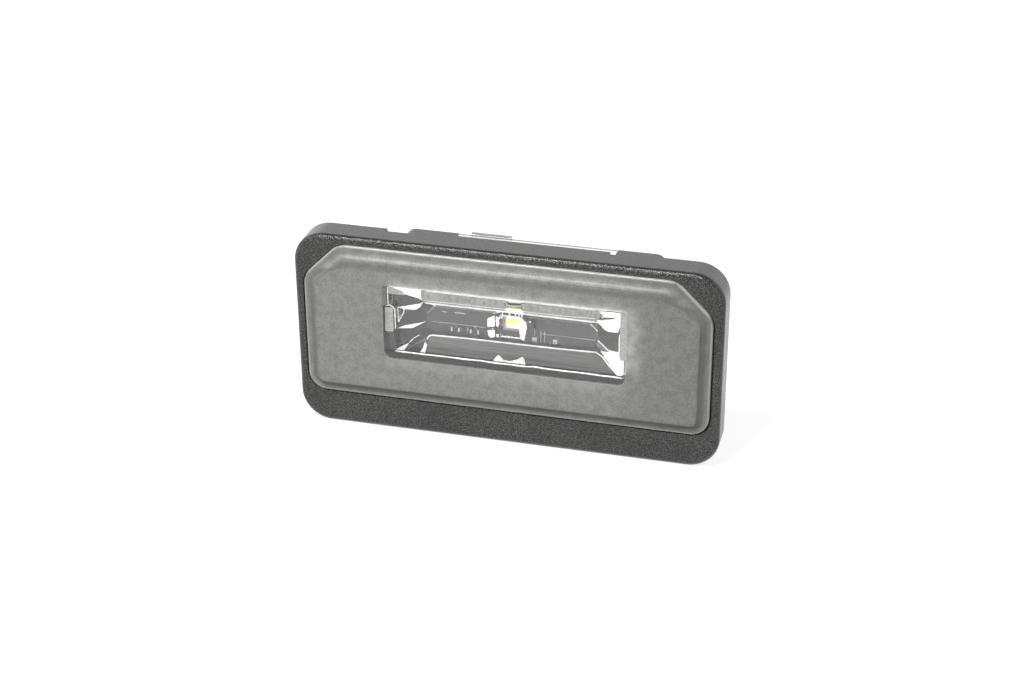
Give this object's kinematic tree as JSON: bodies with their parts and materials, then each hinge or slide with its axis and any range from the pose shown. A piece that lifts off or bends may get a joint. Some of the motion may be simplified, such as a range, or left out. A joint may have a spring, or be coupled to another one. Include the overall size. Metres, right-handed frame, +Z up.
{
  "type": "number plate lamp",
  "caption": "Rectangular car number plate lamp: black flange, frosted raised lens with a clear window and light guide, clip-in body with retaining spring and rear connector.",
  "frame": {"origin": "centre of the flange outline on the plane where the flange rim meets the panel", "axes": "+X right seen from the front, +Y to the rear through the panel, +Z up"},
  "size_m": [0.074, 0.032, 0.0358],
  "materials": {
    "black_moulding": "fine grained black moulding",
    "frosted_lens": "frosted clear plastic with a polished window",
    "clear_guide": "polished clear plastic",
    "spring_steel": "bright rolled sheet",
    "board_laminate": "black solder mask on laminate",
    "white_package": "white moulded package",
    "phosphor_yellow": "yellow phosphor plate",
    "chip_black": "matt black coating",
    "chip_brown": "fired ceramic",
    "tinned_metal": "bright tin plating"
  },
  "bodies": {
    "root": {"housing": "black_moulding", "lens": "frosted_lens", "light_guide": "clear_guide", "rear_cover": "black_moulding", "retaining_spring": "spring_steel", "circuit_board": "board_laminate", "led_package": "white_package", "led_phosphor": "phosphor_yellow", "led_leads": "tinned_metal", "load_resistors": "chip_black", "load_resistor_ends": "tinned_metal", "small_resistors": "chip_black", "small_resistor_ends": "tinned_metal", "capacitors": "chip_brown", "capacitor_ends": "tinned_metal", "protection_diode": "chip_black", "diode_leads": "tinned_metal", "contact_pins": "tinned_metal", "solder_joints": "tinned_metal"}
  },
  "joints": []
}
